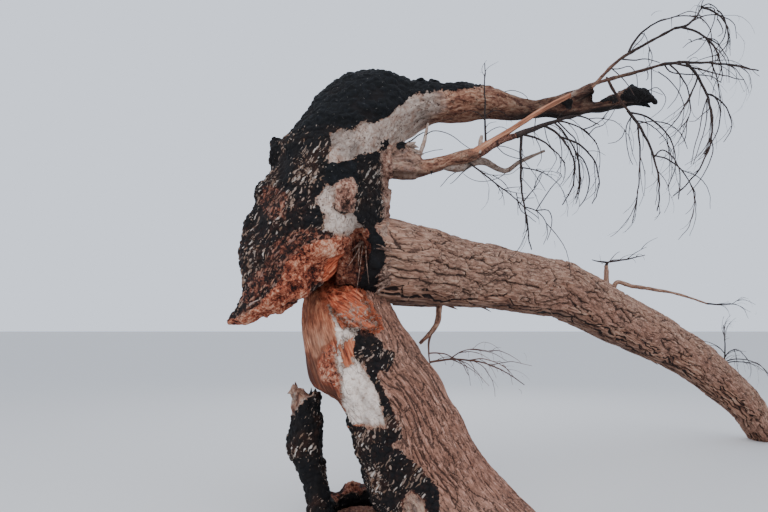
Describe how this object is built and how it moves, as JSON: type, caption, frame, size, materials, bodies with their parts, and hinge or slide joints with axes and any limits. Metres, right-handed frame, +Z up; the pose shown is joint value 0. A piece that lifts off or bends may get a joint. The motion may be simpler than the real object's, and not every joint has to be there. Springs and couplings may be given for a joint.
{
  "type": "dead tree",
  "caption": "Broken, burnt dead tree: leaning hollow stump, charred torn head, trunk fallen to the ground beside it, and bare boughs with drooping twigs.",
  "frame": {"origin": "middle of the stump's flat cut at ground level", "axes": "+Z up; +X the way the fallen trunk and the boughs reach; +Y away from the side the picture was taken from"},
  "size_m": [6.8098, 4.5071, 4.3048],
  "materials": {
    "bark": "rough, deeply furrowed grey-brown bark",
    "charred_wood": "matt black char with pale flecks",
    "weathered_wood": "bare, bleached, fine grained",
    "rotten_wood": "crumbling red-brown rot",
    "peeled_wood": "smooth, peeled, orange-tan",
    "dark_bark": "thin dark bark",
    "twigs": "thin dark bark of bare twigs"
  },
  "bodies": {
    "root": {"stump": "bark", "charred_stub": "charred_wood", "hollow_rim": "rotten_wood", "hollow_floor": "rotten_wood", "broken_head": "charred_wood", "log_lower": "bark", "log_upper": "bark", "upper_bough": "weathered_wood", "upper_bough_tip": "peeled_wood", "charred_end": "charred_wood", "lower_bough": "rotten_wood", "pole": "peeled_wood", "second_pole": "rotten_wood", "grey_fork": "weathered_wood", "strut": "weathered_wood", "spur": "weathered_wood", "up_leader": "dark_bark", "down_leader": "dark_bark", "prong": "peeled_wood", "log_spur": "dark_bark", "log_side_bough": "dark_bark", "twigs_top": "twigs", "twigs_arch": "twigs", "twigs_out": "twigs", "twigs_hang": "twigs", "twigs_mid": "twigs", "twigs_low": "twigs", "twigs_upright": "twigs", "twigs_prong": "twigs", "twigs_spur": "twigs", "twigs_side": "twigs", "twigs_end": "twigs"}
  },
  "joints": []
}
